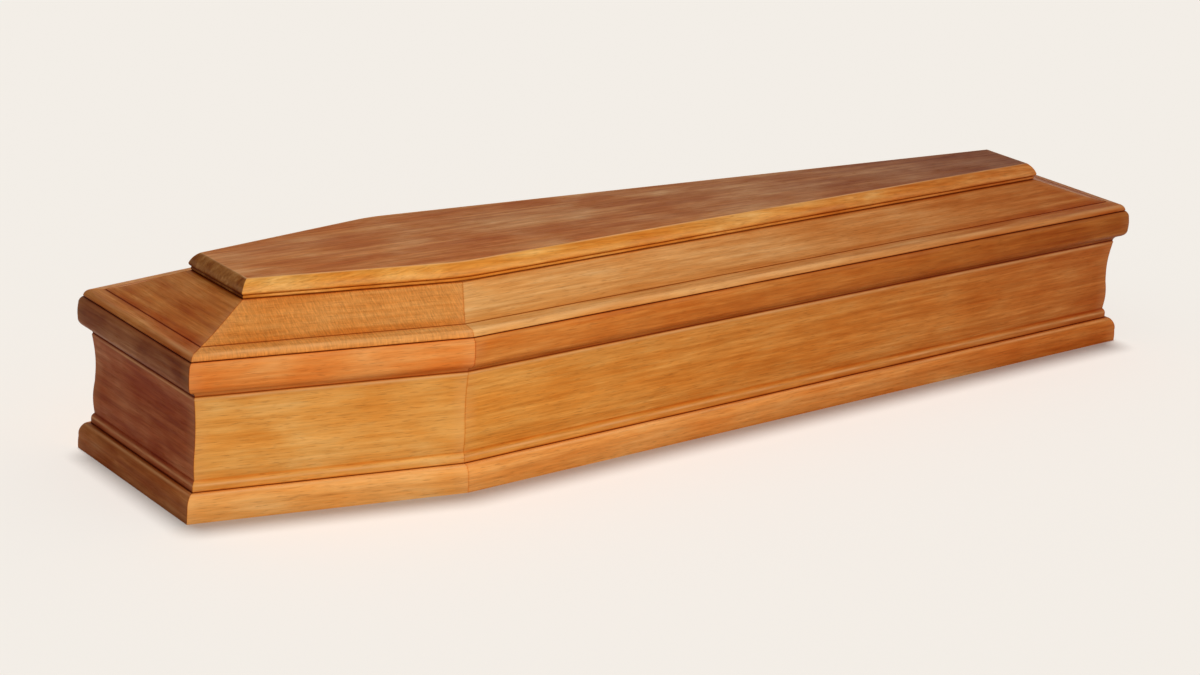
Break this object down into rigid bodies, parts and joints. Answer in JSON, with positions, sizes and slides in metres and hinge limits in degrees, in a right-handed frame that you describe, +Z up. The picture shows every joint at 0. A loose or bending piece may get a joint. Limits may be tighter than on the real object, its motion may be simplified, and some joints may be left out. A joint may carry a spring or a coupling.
{
  "type": "wooden coffin",
  "caption": "Closed six-sided wooden coffin that widens to the shoulders, with a moulded base and rim and a raised, hipped lid that rests on the box.",
  "frame": {"origin": "centre of the footprint at the floor, under the middle of the plinth", "axes": "+X along the length to the foot end, +Y to the left side of the one who lies in it, +Z up"},
  "size_m": [2.043, 0.553, 0.346],
  "materials": {
    "long_side_wood": "satin varnish over open-grained red-brown hardwood, grain along the length",
    "short_side_wood": "satin varnish over lighter, more yellow boards of the same hardwood",
    "end_wood": "satin varnish over browner boards of the same hardwood, grain across the end",
    "panel_wood": "satin varnish over a brown, streaked board, grain along the length",
    "bottom_wood": "plain sawn board, unvarnished"
  },
  "bodies": {
    "root": {"bottom_board": "bottom_wood", "shoulder_board_right": "short_side_wood", "side_board_right": "long_side_wood", "foot_board": "end_wood", "side_board_left": "long_side_wood", "shoulder_board_left": "short_side_wood", "head_board": "end_wood", "base_moulding_shoulder_right": "short_side_wood", "base_moulding_side_right": "long_side_wood", "base_moulding_foot": "end_wood", "base_moulding_side_left": "long_side_wood", "base_moulding_shoulder_left": "short_side_wood", "base_moulding_head": "end_wood", "rim_moulding_shoulder_right": "short_side_wood", "rim_moulding_side_right": "long_side_wood", "rim_moulding_foot": "end_wood", "rim_moulding_side_left": "long_side_wood", "rim_moulding_shoulder_left": "short_side_wood", "rim_moulding_head": "end_wood", "lid_slope_shoulder_right": "short_side_wood", "lid_slope_side_right": "long_side_wood", "lid_slope_foot": "end_wood", "lid_slope_side_left": "long_side_wood", "lid_slope_shoulder_left": "short_side_wood", "lid_slope_head": "end_wood", "lid_top_panel": "panel_wood"}
  },
  "joints": []
}
